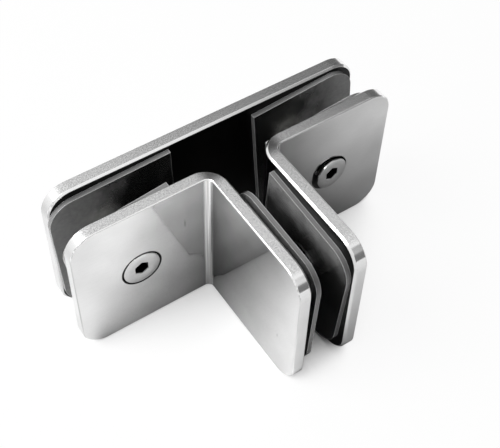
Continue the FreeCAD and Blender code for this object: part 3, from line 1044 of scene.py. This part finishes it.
def thread_tree() -> Tree:
    """Build the Geometry Nodes tree of a screw thread.

    Returns:
        The tree, made once and shared by all screws.
    """
    name = "cut_thread"
    if name in bpy.data.node_groups:
        return bpy.data.node_groups[name]
    tree = bpy.data.node_groups.new(name, "GeometryNodeTree")
    for label in ("Turns", "Core", "Length", "Top", "Half Pitch", "Depth"):
        tree.interface.new_socket(label, in_out="INPUT", socket_type="NodeSocketFloat")
    tree.interface.new_socket("Geometry", in_out="OUTPUT", socket_type="NodeSocketGeometry")
    sizes = add_node(tree, "NodeGroupInput").outputs
    spiral = add_node(tree, "GeometryNodeCurveSpiral", {
        "Resolution": THREAD_STEPS, "Rotations": sizes["Turns"], "Start Radius": sizes["Core"],
        "End Radius": sizes["Core"], "Height": sizes["Length"]})
    spiral = add_node(tree, "GeometryNodeSetCurveNormal", {"Curve": spiral}, mode="Z_UP")
    # The ridge rises from nothing and runs out to nothing over its first and last turn
    along = add_node(tree, "GeometryNodeSplineParameter").outputs["Factor"]
    off_middle = add_node(tree, "ShaderNodeMath", (along, 0.5), operation="SUBTRACT")
    off_middle = add_node(tree, "ShaderNodeMath", (off_middle,), operation="ABSOLUTE")
    taper = add_node(tree, "ShaderNodeMapRange", (
        off_middle, *THREAD_RUN_OUT, 1.0, THREAD_END))
    spiral = add_node(tree, "GeometryNodeSetCurveRadius", {"Curve": spiral, "Radius": taper})
    lower = add_node(tree, "ShaderNodeMath", (sizes["Half Pitch"], -1.0), operation="MULTIPLY")
    drop = add_node(tree, "ShaderNodeMath", (sizes["Top"], sizes["Length"]),
                    operation="SUBTRACT")
    foot_low, crest, foot_high, offset = (
        add_node(tree, "ShaderNodeCombineXYZ", {axis: size})
        for axis, size in (("Y", sizes["Half Pitch"]), ("X", sizes["Depth"]), ("Y", lower),
                           ("Z", drop)))
    profile = add_node(tree, "GeometryNodeCurvePrimitiveQuadrilateral", {
        "Point 1": foot_low, "Point 2": crest, "Point 3": foot_high,
        "Point 4": (0.0, 0.0, 0.0)}, mode="POINTS")
    ridge = add_node(tree, "GeometryNodeCurveToMesh", {
        "Curve": spiral, "Profile Curve": profile, "Fill Caps": True})
    ridge = add_node(tree, "GeometryNodeTransform", {"Geometry": ridge, "Translation": offset})
    ridge = add_node(tree, "GeometryNodeRealizeInstances", {"Geometry": ridge})
    ridge = add_node(tree, "GeometryNodeSetMaterial", {"Geometry": ridge})
    add_node(tree, "NodeGroupOutput", {"Geometry": ridge})
    return tree


@dataclass(frozen=True)
class Clamp:
    """The CAD pieces that keep their shape: plate, jaws, posts, sleeves and pads."""

    sheets: tuple[tuple[str, Sheet], ...] = (
        ("back_plate", Sheet.PLATE), ("left_jaw", Sheet.LEFT_JAW),
        ("right_jaw", Sheet.RIGHT_JAW))
    posts: tuple[str, ...] = ("left_post", "right_post", "stem_post")
    sleeves: tuple[str, ...] = ("left_sleeve", "right_sleeve", "stem_sleeve")
    plate_pads: tuple[str, ...] = ("back_left_pad", "back_right_pad", "front_left_pad",
                                   "front_right_pad")
    stem_pads: tuple[str, ...] = ("stem_left_pad", "stem_right_pad")

    def dress(self, turned: Material) -> None:
        """Give each CAD piece its finish.

        Args:
            turned: The finish of the posts.
        """
        groups = (
            *(((name,), PolishedSheet(sheet).make()) for name, sheet in self.sheets),
            (self.posts, turned), (self.sleeves, NaturalNylon().make()),
            (self.plate_pads, ClearVinyl(Run.PLATE).make()),
            (self.stem_pads, ClearVinyl(Run.STEM).make()))
        for names, finish in groups:
            for name in names:
                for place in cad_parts[name].material_slots:
                    place.material = finish
                log.info("dressed %s in %s", name, finish.name)


@dataclass(frozen=True)
class Studio:
    """Pale floor, one soft box, a tent for the steel to mirror, and the photo's camera."""

    # Camera
    eye_mm: Point = (-109.6, -175.0, 269.9)
    aim_mm: Point = (4.9, -15.2, 17.6)
    roll_deg: float = 2.2
    lens_mm: float = 76.12
    sensor_mm: float = 36.0
    clip_mm: float = 10.0
    # Floor, and how open it is where its three shadows end: seen, mirrored and lit
    floor_radius_mm: float = 1500.0
    floor_steps: int = 64
    floor_colour: str = "#F4F4F4"
    floor_roughness: float = 0.9
    shadow_mm: float = 110.0
    shadow_seen: Span = (0.15, 0.6)
    seen_white: float = 0.94
    shadow_mirrored: Span = (0.95, 1.0)
    shadow_lit: Span = (0.18, 0.62)
    shadow_grey: float = 0.3
    # Tent, with a dark side on the right and a dark room low in front
    tent_grey: float = 0.98
    dark_grey: float = 0.2
    fill_grey: float = 0.1
    flag_way: Point = (1.0, 0.1, 0.0)
    flag_side: Span = (0.26, 0.41)
    flag_foot: Span = (-0.1, 0.05)
    flag_top: Span = (0.735, 0.752)
    room_way: Point = (0.35, -0.94, 0.0)
    room_side: Span = (0.5, 0.7)
    room_top: Span = (0.38, 0.5)
    # Soft box, with a radiance where one is white
    key_mm: Point = (-559.0, 150.0, 689.0)
    key_aim_mm: Point = (0.0, -20.0, 25.0)
    key_size_mm: float = 600.0
    key_radiance: float = 9.6

    def build_camera(self) -> None:
        """Set the camera where the photograph was taken from."""
        data = bpy.data.cameras.new("photo_camera")
        data.lens = self.lens_mm
        data.sensor_width = self.sensor_mm
        data.sensor_fit = "HORIZONTAL"
        data.clip_start = self.clip_mm * MM
        camera = put("photo_camera", data)
        aim(camera, self.eye_mm, self.aim_mm, self.roll_deg)
        bpy.context.scene.camera = camera

    def floor_finish(self) -> Material:
        """Build the matt floor paint.

        It gives the eye plain white with a soft shadow, and the steel a floor that darkens
        beside the part.

        Returns:
            The finish.
        """
        material, tree = new_material("pale_studio_floor")
        paint = add_node(tree, "ShaderNodeBsdfPrincipled", {
            "Base Color": linear(self.floor_colour), "Roughness": self.floor_roughness,
            "Specular IOR Level": 0.0})
        seen, mirrored = ray_kinds(tree)
        near = add_node(tree, "ShaderNodeAmbientOcclusion", {
            "Distance": self.shadow_mm * MM}, samples=12).outputs["AO"]
        glows = []
        for openness, level, rays in ((self.shadow_seen, self.seen_white, seen),
                                      (self.shadow_mirrored, 1.0, mirrored)):
            glow = add_node(tree, "ShaderNodeMapRange", (near, *openness, 0.0, level))
            glows.append(add_node(tree, "ShaderNodeMath", (glow, rays), operation="MULTIPLY"))
        glow = add_node(tree, "ShaderNodeMath", tuple(glows), operation="MAXIMUM")
        lit = add_node(tree, "ShaderNodeMapRange", (near, *self.shadow_lit, self.shadow_grey))
        others = add_node(tree, "ShaderNodeMath", (1.0, mirrored), operation="SUBTRACT")
        lit = add_node(tree, "ShaderNodeMath", (lit, others), operation="MAXIMUM")
        white, black = (
            add_node(tree, "ShaderNodeEmission", {"Color": grey(1.0), "Strength": strength})
            for strength in (1.0, 0.0))
        shaded = add_node(tree, "ShaderNodeMixShader", (lit, black, paint))
        mixed = add_node(tree, "ShaderNodeMixShader", (glow, shaded, white))
        add_node(tree, "ShaderNodeOutputMaterial", (mixed,))
        return material

    def build_floor(self) -> None:
        """Lay the floor level with the lowest edge."""
        angles = [2.0 * math.pi * step / self.floor_steps for step in range(self.floor_steps)]
        radius = self.floor_radius_mm * MM
        mesh = bpy.data.meshes.new("floor")
        mesh.from_pydata([(math.cos(angle) * radius, math.sin(angle) * radius, CAD_BOX[0].z)
                          for angle in angles], [], [tuple(range(self.floor_steps))])
        mesh.materials.append(self.floor_finish())
        put("floor", mesh)

    def build_world(self) -> None:
        """Surround the set with a white tent, dark on the right and low in front."""
        world = bpy.data.worlds.new("soft_tent")
        bpy.context.scene.world = world
        world.use_nodes = True
        tree = world.node_tree
        tree.nodes.clear()
        way = add_node(tree, "ShaderNodeTexCoord").outputs["Generated"]
        height = add_node(tree, "ShaderNodeSeparateXYZ", (way,)).outputs["Z"]
        darks = []
        for toward, side, *bands in (
                (self.flag_way, self.flag_side, (*self.flag_top, 1.0, 0.0), self.flag_foot),
                (self.room_way, self.room_side, (*self.room_top, 1.0, 0.0))):
            ahead = add_node(tree, "ShaderNodeVectorMath", (way, toward), operation="DOT_PRODUCT")
            dark = add_node(tree, "ShaderNodeMapRange", (ahead, *side),
                            interpolation_type="SMOOTHSTEP")
            for band in bands:
                level = add_node(tree, "ShaderNodeMapRange", (height, *band),
                                 interpolation_type="SMOOTHSTEP")
                dark = add_node(tree, "ShaderNodeMath", (dark, level), operation="MULTIPLY")
            darks.append(dark)
        dark = add_node(tree, "ShaderNodeMath", tuple(darks), operation="MAXIMUM")
        seen, mirrored = ray_kinds(tree)
        colour = add_node(tree, "ShaderNodeMix", (
            dark, grey(self.tent_grey), grey(self.dark_grey)), data_type="RGBA")
        colour = add_node(tree, "ShaderNodeMix", (mirrored, grey(self.fill_grey), colour),
                          data_type="RGBA")
        colour = add_node(tree, "ShaderNodeMix", (seen, colour, grey(1.0)), data_type="RGBA")
        background = add_node(tree, "ShaderNodeBackground", {"Color": colour})
        add_node(tree, "ShaderNodeOutputWorld", (background,))

    def build_lamp(self) -> None:
        """Hang the soft box that lights the connector."""
        side = self.key_size_mm * MM
        data = bpy.data.lights.new("key_box", "AREA")
        data.shape = "SQUARE"
        data.size = side
        data.energy = self.key_radiance * math.pi * side ** 2
        aim(put("key_box", data), self.key_mm, self.key_aim_mm)

    def build(self) -> None:
        """Set up the studio."""
        self.build_camera()
        self.build_floor()
        self.build_world()
        self.build_lamp()
        bpy.context.scene.view_settings.view_transform = "Standard"


def main() -> None:
    """Build the connector and its studio."""
    logging.basicConfig(level=logging.INFO, format="%(name)s: %(message)s")
    turned = TurnedSteel().make()
    Clamp().dress(turned)
    screws = (
        CountersunkScrew(Side.LEFT, (0.0, -1.0, 0.0)),
        CountersunkScrew(Side.RIGHT, (0.0, -1.0, 0.0), lean_deg=3.5, head_mm=11.2),
        CountersunkScrew(Side.STEM, (1.0, 0.0, 0.0)),
    )
    for screw in screws:
        piece = screw.build()
        screw.dress(piece, turned)
        log.info("built %s with %d faces", piece.name, len(piece.data.polygons))
    Studio().build()


if __name__ == "__main__":
    main()
